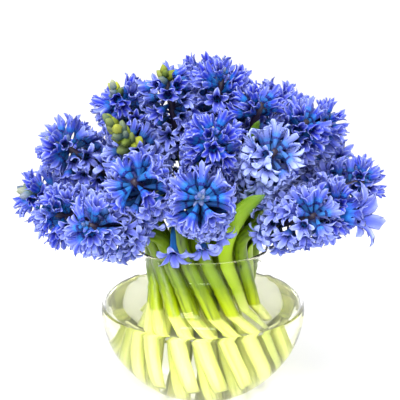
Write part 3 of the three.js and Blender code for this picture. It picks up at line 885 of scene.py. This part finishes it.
def petal_material():
    """Azure tubes and violet-blue lobes, paler at their tips, their edges pale from a paler margin and a
    painted highlight; painted shade at the tubes' roots, in the throats and deep in the head; buds by how
    green they are.
    """
    graph = Graph("hyacinth_petal")
    along, across, inside, tone, pale, green, depth_shade = (graph.attribute(name) for name in VALUE_NAMES)
    # Painted shade: the tubes' roots outside and the throats inside are near-black navy, for the shade
    # between florets and in their mouths
    outer = graph.ramp(
        along, (0.0, 2, 12, 40), (0.10, 4, 60, 118), (0.18, 10, 156, 226), (0.38, 34, 158, 252),
        (0.56, 40, 74, 234), (0.80, 70, 92, 246), (1.0, 132, 150, 254),
    )
    inner = graph.ramp(
        along, (0.3, 6, 8, 74), (0.42, 22, 24, 154), (0.54, 40, 50, 216), (0.80, 64, 78, 242),
        (1.0, 126, 142, 254),
    )
    body = graph.blend(inside, outer, inner)
    stripe = graph.calc("POWER", graph.calc("SUBTRACT", 1.0, across), 3.0)
    striped = graph.blend(stripe, body, srgb(18, 18, 140), strength=0.45)
    toned = graph.blend(tone, striped, srgb(78, 96, 244), strength=0.35)
    patches = graph.noise(scale=230.0, detail=3.0)
    shaded = graph.blend(patches, toned, srgb(6, 10, 136), strength=0.62)
    lobe_share = graph.times(graph.calc("SUBTRACT", along, 0.38), 2.0)
    lobe_share = graph.calc("MAXIMUM", lobe_share, 0.0)
    # The lobes' edges go near-white: partly their own paler margin, partly a painted highlight
    edge_and_highlight_share = graph.times(graph.calc("POWER", across, 2.4), lobe_share)
    edged_and_highlit = graph.blend(edge_and_highlight_share, shaded, srgb(206, 216, 255), strength=0.9)
    pale_share = graph.times(pale, graph.calc("ADD", lobe_share, 0.15))
    pale_share = graph.calc("MINIMUM", pale_share, 0.85)
    paled = graph.blend(pale_share, edged_and_highlit, srgb(176, 192, 255))
    bud = graph.ramp(along, (0.0, 22, 34, 14), (0.4, 64, 84, 26), (0.8, 116, 134, 56))
    bud = graph.blend(graph.calc("POWER", tone, 2.5), bud, srgb(198, 202, 34))
    # Painted shade: near-black navy deep inside the head, less on florets near its tip
    depth_shaded = graph.blend(depth_shade, paled, srgb(1, 5, 40), strength=0.95)
    coloured = graph.blend(green, depth_shaded, bud)
    ridges = graph.calc("SINE", graph.times(across, 22.0))
    relief = graph.bump(ridges, strength=0.4, distance=0.0002)
    skin = graph.shader(coloured, roughness=0.36, more={"Specular IOR Level": 0.20, "Normal": relief})
    glow = graph.node("ShaderNodeBsdfTranslucent", {"Color": coloured}).outputs[0]
    return graph.finished(graph.mixed(0.10, skin, glow))


def rachis_material():
    """The head's own axis: dark maroon-brown, a little green towards the stem."""
    graph = Graph("hyacinth_axis")
    along = graph.attribute("along")
    body = graph.ramp(along, (0.0, 60, 76, 40), (0.25, 34, 26, 52), (1.0, 40, 14, 36))
    coloured = graph.blend(graph.noise(scale=300.0), body, srgb(18, 12, 40))
    return graph.finished(graph.shader(coloured, roughness=0.5, more={}))


def stem_material():
    """Fleshy yellow-green above the water, pale cream-yellow below it, with faint lengthwise streaks."""
    graph = Graph("hyacinth_stem")
    body = graph.ramp(
        graph.height_share(0.02, 0.24), (0.0, 204, 214, 40), (0.32, 184, 202, 3), (0.44, 126, 156, 1),
        (0.8, 70, 104, 1),
    )
    streak = graph.times(graph.attribute("streak"), 0.9)
    streak_share = graph.times(graph.calc("POWER", streak, 2.0), 0.8)
    streaked = graph.blend(streak_share, body, srgb(30, 56, 1))
    dry = graph.height_share(WATER_LEVEL - 0.002, WATER_LEVEL + 0.001)
    wet = graph.blend(streak_share, srgb(236, 240, 150), srgb(168, 180, 72))
    coloured = graph.blend(dry, wet, streaked)
    flesh = {"Subsurface Weight": 0.15, "Subsurface Radius": (0.003, 0.004, 0.001)}
    flesh["Normal"] = graph.bump(streak, strength=0.2, distance=0.0004)
    return graph.finished(graph.shader(coloured, roughness=0.38, more=flesh))


def leaf_material():
    """Strap leaves: pale under water, fresh green above, with fine veins that run lengthwise."""
    graph = Graph("hyacinth_leaf")
    body = graph.ramp(
        graph.attribute("along"), (0.0, 226, 230, 158), (0.12, 220, 226, 130), (0.16, 160, 186, 24),
        (0.4, 160, 196, 12), (0.75, 126, 174, 8), (1.0, 66, 118, 12),
    )
    veins = graph.calc("SINE", graph.times(graph.attribute("across"), 40.0))
    veined = graph.blend(graph.calc("ADD", veins, 1.0), body, srgb(74, 118, 14), strength=0.12)
    coloured = graph.blend(graph.noise(scale=60.0), veined, srgb(178, 208, 40), strength=0.35)
    relief = graph.bump(veins, strength=0.25, distance=0.0003)
    return graph.finished(graph.shader(coloured, roughness=0.36, more={"Normal": relief}))


def clear_material(name, colour, shade, ior):
    """Clear glass or water of a colour, with the shade that it gives to the lamps' light."""
    graph = Graph(name)
    clear = graph.shader(colour, roughness=0.0, more={"Transmission Weight": 1.0, "IOR": ior})
    through = graph.node("ShaderNodeBsdfTransparent", {"Color": shade}).outputs[0]
    shadow = graph.node("ShaderNodeLightPath", {}).outputs["Is Shadow Ray"]
    return graph.finished(graph.mixed(shadow, clear, through))


# Stems and leaves
STEM_SEED = 900
STEM_SIDES = 20
STEM_STRAIGHT_STOPS = 9
STEM_BEND_STOPS = 17
STEM_WOBBLE = 0.03
STEM_WAVES = 9
STEM_SIZE_RANGE = (0.93, 1.03)
STEM_TOP_SIZE = 0.92
STREAK_MOST = 0.9
STREAK_NOISE = 0.15
STREAK_SHIFT = (-0.15, 0.35)
STREAK_AT_ENDS = 0.5


def stem_piece(number, run, material):
    draw = np.random.default_rng(STEM_SEED + number)
    straight = np.linspace(0, STRAIGHT_SHARE, STEM_STRAIGHT_STOPS)
    bend = np.linspace(STRAIGHT_SHARE, 1, STEM_BEND_STOPS)[1:]
    stops = np.concatenate((straight, bend))
    wobble = 1 + STEM_WOBBLE * np.sin(STEM_WAVES * stops + draw.uniform(0, LARGEST_TURN))
    radii = STEM_RADIUS * wobble * draw.uniform(*STEM_SIZE_RANGE)
    radii = radii * mix(1.0, STEM_TOP_SIZE, smoothstep(stops, 0.3, 1.0))
    tube, faces = swept_tube(run.points(stops), radii, STEM_SIDES, draw.uniform(0, 1))
    streaks = draw.uniform(0, STREAK_MOST, STEM_SIDES)
    streaks = streaks + draw.normal(0, STREAK_NOISE, (len(stops), STEM_SIDES))
    streaks = np.maximum(streaks + draw.uniform(*STREAK_SHIFT), 0)
    streaks = np.append(streaks, (STREAK_AT_ENDS, STREAK_AT_ENDS))
    piece = mesh_piece(f"hyacinth_stem_{number + 1:02d}", tube, faces, [material], streak=streaks)
    place_piece(piece, "stem", f"stem_{number + 1:02d}")


LEAF_ROWS = 41
LEAF_COLUMNS = 9
LEAF_ROW_POWER = 0.9
LEAF_FOOT_WIDTH = 0.008
LEAF_NECK_WIDTH = 0.013
LEAF_LEAST_HALF = 0.0004
LEAF_WIDEST_AT = 0.70
LEAF_TIP_ROUNDNESS = 3.6
LEAF_FOLD = 0.22
LEAF_THICKNESS = 0.0022
LEAF_EDGE_SHARE = 0.25
LEAF_TIP_THINNING = 0.06


def leaf_half_widths(stops, widest):
    foot = mix(LEAF_FOOT_WIDTH, LEAF_NECK_WIDTH, stops / STRAIGHT_SHARE)
    rise = mix(LEAF_NECK_WIDTH, widest, smoothstep(stops, STRAIGHT_SHARE, LEAF_WIDEST_AT))
    fall = np.clip((stops - LEAF_WIDEST_AT) / (1 - LEAF_WIDEST_AT), 0, 1)
    tip = widest * np.sqrt(1 - fall ** LEAF_TIP_ROUNDNESS)
    widths = np.where(stops <= STRAIGHT_SHARE, foot, np.where(stops <= LEAF_WIDEST_AT, rise, tip))
    return np.maximum(widths / 2, LEAF_LEAST_HALF)


def leaf_piece(number, run, widest, material):
    stops = np.linspace(0, 1, LEAF_ROWS) ** LEAF_ROW_POWER
    centre = run.points(stops)
    tangents = tangents_of(centre)
    outwards = unit(centre * (1, 1, 0))
    sideways = unit(np.cross(outwards, tangents))
    normal = np.cross(sideways, tangents)
    half = leaf_half_widths(stops, widest)
    spots = np.linspace(-1, 1, LEAF_COLUMNS)
    fold = LEAF_FOLD * half[:, None] * spots ** 2
    thick = LEAF_THICKNESS * mix(LEAF_EDGE_SHARE, 1, 1 - spots ** 2)
    thick = thick * smoothstep(1 - stops, 0, LEAF_TIP_THINNING)[:, None]
    base = centre[:, None] + sideways[:, None] * (half[:, None] * spots)[..., None]
    front = base + normal[:, None] * (fold + thick / 2)[..., None]
    back = base + normal[:, None] * (fold - thick / 2)[..., None]
    rows = np.concatenate((front, back[:, ::-1]), 1)
    size = 2 * LEAF_COLUMNS
    points = np.concatenate((rows.reshape(-1, 3), centre[:1], centre[-1:]))
    along = np.append(np.repeat(stops, size), (0, 1))
    across = np.append(np.tile(np.append(spots, spots[::-1]), LEAF_ROWS), (0, 0))
    piece = mesh_piece(f"hyacinth_leaf_{number + 1}", points, closed_faces(LEAF_ROWS, size), [material],
                       along=along, across=across)
    place_piece(piece, "leaf", f"leaf_{number + 1}")


# The vase and its water, turned round the upright axis
TURN_SIDES = 128
OUTLINE_STEPS = 9


def catmull(points, steps):
    """A smooth line through points, with a number of steps between each two."""
    points = np.array(points, float)
    ends = np.concatenate((2 * points[:1] - points[1:2], points, 2 * points[-1:] - points[-2:-1]))
    line = []
    for a, b, c, d in zip(ends, ends[1:], ends[2:], ends[3:]):
        for t in np.arange(steps) / steps:
            line.append(0.5 * (2 * b + (c - a) * t + (2 * a - 5 * b + 4 * c - d) * t * t
                               + (3 * b - a - 3 * c + d) * t ** 3))
    line.append(points[-1])
    return np.array(line)


def inset(outline, distance):
    tangents = tangents_of(outline)
    return outline + np.stack((-tangents[:, 1], tangents[:, 0]), -1) * distance


def turned_piece(name, profile, material):
    """A closed body turned from a profile that starts and ends on the axis."""
    angles = 2 * pi * np.arange(TURN_SIDES) / TURN_SIDES
    inner = profile[1:-1]
    radii, heights = inner[:, :1], np.repeat(inner[:, 1:], TURN_SIDES, 1)
    rings = np.stack((radii * np.cos(angles), radii * np.sin(angles), heights), -1)
    points = np.concatenate((rings.reshape(-1, 3), [(0, 0, profile[0, 1]), (0, 0, profile[-1, 1])]))
    return mesh_piece(name, points, closed_faces(len(inner), TURN_SIDES), [material])


def above(outline, level):
    """The stretch of a rising outline above a level, starting just at it."""
    first = int(np.argmax(outline[:, 1] > level))
    low, high = outline[first - 1], outline[first]
    start = mix(low, high, (level - low[1]) / (high[1] - low[1]))
    return np.concatenate((start[None], outline[first:]))


LIP_ANGLES = (30, 60, 90, 120, 150)
FOOT_RADII = (0.0, 0.012, 0.024, 0.033)
GLASS_FLOOR_RADII = (0.03, 0.015, 0.0)


def vase_piece(outline, material):
    inside = above(inset(outline, GLASS_WALL), GLASS_FLOOR)
    middle = (outline[-1] + inside[-1]) / 2
    radius = np.linalg.norm(outline[-1] - inside[-1]) / 2
    side = unit(outline[-1] - inside[-1])
    top = unit(outline[-1] - outline[-2])
    lip = [middle + side * radius * cos(a) + top * radius * sin(a) for a in np.radians(LIP_ANGLES)]
    foot = [(r, 0.0) for r in FOOT_RADII]
    floor = [(r, GLASS_FLOOR) for r in GLASS_FLOOR_RADII]
    profile = np.concatenate((foot, outline, lip, inside[::-1], floor))
    piece = turned_piece("glass_vase", profile, material)
    place_piece(piece, "glass", "vase")


# How far the water's skin lies within the glass, as shares of wall and floor, so that no air shows between,
# and how its surface climbs the wall, as steps out from the wall's end and up from the level
WATER_IN_WALL = 0.55
WATER_IN_FLOOR = 0.6
WATER_FLOOR_RADIUS = 0.018
WALL_END_DEPTH = 0.002
SURFACE_STEPS = ((0.0002, 0.0006), (-0.0022, -0.0002), (-0.008, -0.0006))


def water_piece(outline, material):
    bottom = GLASS_FLOOR * WATER_IN_FLOOR
    wall = above(inset(outline, GLASS_WALL * WATER_IN_WALL), bottom)
    wall = wall[wall[:, 1] < WATER_LEVEL - WALL_END_DEPTH]
    edge = wall[-1, 0]
    floor = [(0.0, bottom), (WATER_FLOOR_RADIUS, bottom)]
    surface = [(edge + out, WATER_LEVEL + up) for out, up in SURFACE_STEPS]
    level = surface[-1][1]
    profile = np.concatenate((floor, wall, surface, [(edge / 2, level), (0.0, level)]))
    piece = turned_piece("vase_water", profile, material)
    place_piece(piece, "water", "water")


# The room: a pale floor, soft light from all round, two lamps and the camera
CAMERA_PLACE = (-0.0026, -0.564, 0.307)
CAMERA_PITCH = 12.35
CAMERA_LENS = 55.35
WORLD_STRENGTH = 1.13
LAMP_TARGET = (0, 0, 0.18)

# Each lamp's name, place, width and height, and power in watts
LAMPS = (("key", (-0.1, -1.15, 0.66), (0.8, 0.15), 7), ("top", (-0.25, -0.7, 1.3), (0.5, 0.5), 19))


def make_floor():
    bpy.ops.mesh.primitive_plane_add(size=60)
    floor = bpy.context.object
    floor.name = "floor"
    graph = Graph("pale_floor")
    tint = graph.blend(graph.noise(scale=3.0), (0.96, 0.96, 0.96), (0.98, 0.98, 0.98))
    floor.data.materials.append(graph.finished(graph.shader(tint, roughness=0.8, more={})))


def area_lamp(name, place, size, power):
    lamp = bpy.data.lights.new(name, "AREA")
    lamp.shape = "RECTANGLE"
    lamp.size, lamp.size_y = size
    lamp.energy = power
    holder = new_object(name, lamp)
    holder.location = place
    holder.rotation_euler = (Vector(LAMP_TARGET) - Vector(place)).to_track_quat("-Z", "Y").to_euler()


def make_room():
    scene = bpy.context.scene
    world = bpy.data.worlds.new("studio")
    world.use_nodes = True
    background = world.node_tree.nodes["Background"]
    background.inputs["Color"].default_value = (1, 1, 1, 1)
    background.inputs["Strength"].default_value = WORLD_STRENGTH
    scene.world = world
    for lamp in LAMPS:
        area_lamp(*lamp)
    scene.view_settings.view_transform = "Standard"
    scene.cycles.use_denoising = True
    scene.cycles.max_bounces = 24
    scene.cycles.glossy_bounces = 12
    scene.cycles.transmission_bounces = 24
    scene.cycles.transparent_max_bounces = 32


def make_camera():
    data = bpy.data.cameras.new("camera")
    data.lens = CAMERA_LENS
    data.sensor_width = 36
    data.clip_start = 0.01
    camera = new_object("camera", data)
    camera.location = CAMERA_PLACE
    camera.rotation_euler = (radians(90 - CAMERA_PITCH), 0, 0)
    bpy.context.scene.camera = camera


# The colour, the shade of the shadow and the refraction of glass and water, lower than the real ones,
# because the stems in the bowl are closer to the photo that way
GLASS_LOOK = ((0.99, 0.995, 0.985), (0.995, 0.995, 0.995), 1.18)
WATER_LOOK = ((0.975, 0.98, 0.74), (0.99, 0.99, 0.88), 1.29)

# How many leaves, from the first, the florets leave clear: the two that the photo shows in front
CLEARED_LEAVES = 2


def main():
    make_camera()
    make_room()
    make_floor()
    sites = [site[:2] for site in (*HEADS, *LEAVES)]
    directions = [direction_of(*site) for site in sites]
    weights = [HEAD_WEIGHT] * len(HEADS) + [LEAF_WEIGHT] * len(LEAVES)
    places = neck_places(sites)
    petals = [petal_material(), rachis_material()]
    green, strap = stem_material(), leaf_material()
    leaf_runs = []
    for i, (_, _, reach, widest) in enumerate(LEAVES):
        site = len(HEADS) + i
        end = BOUQUET_CENTRE + directions[site] * reach
        leaf_runs.append(Run(places[site], end, directions[site], LEAF_NECK_HANDLE, LEAF_TIP_HANDLE))
        leaf_piece(i, leaf_runs[i], widest, strap)
    kept_clear = leaf_space(leaf_runs[:CLEARED_LEAVES])
    for i in range(len(HEADS)):
        end = BOUQUET_CENTRE + directions[i] * HEAD_START
        run = Run(places[i], end, directions[i], STEM_NECK_HANDLE, STEM_HEAD_HANDLE)
        stem_piece(i, run, green)
        head_piece(i, run, petals, directions, weights, kept_clear)
    outline = catmull(VASE_OUTLINE, OUTLINE_STEPS)
    vase_piece(outline, clear_material("clear_glass", *GLASS_LOOK))
    water_piece(outline, clear_material("clear_water", *WATER_LOOK))


main()
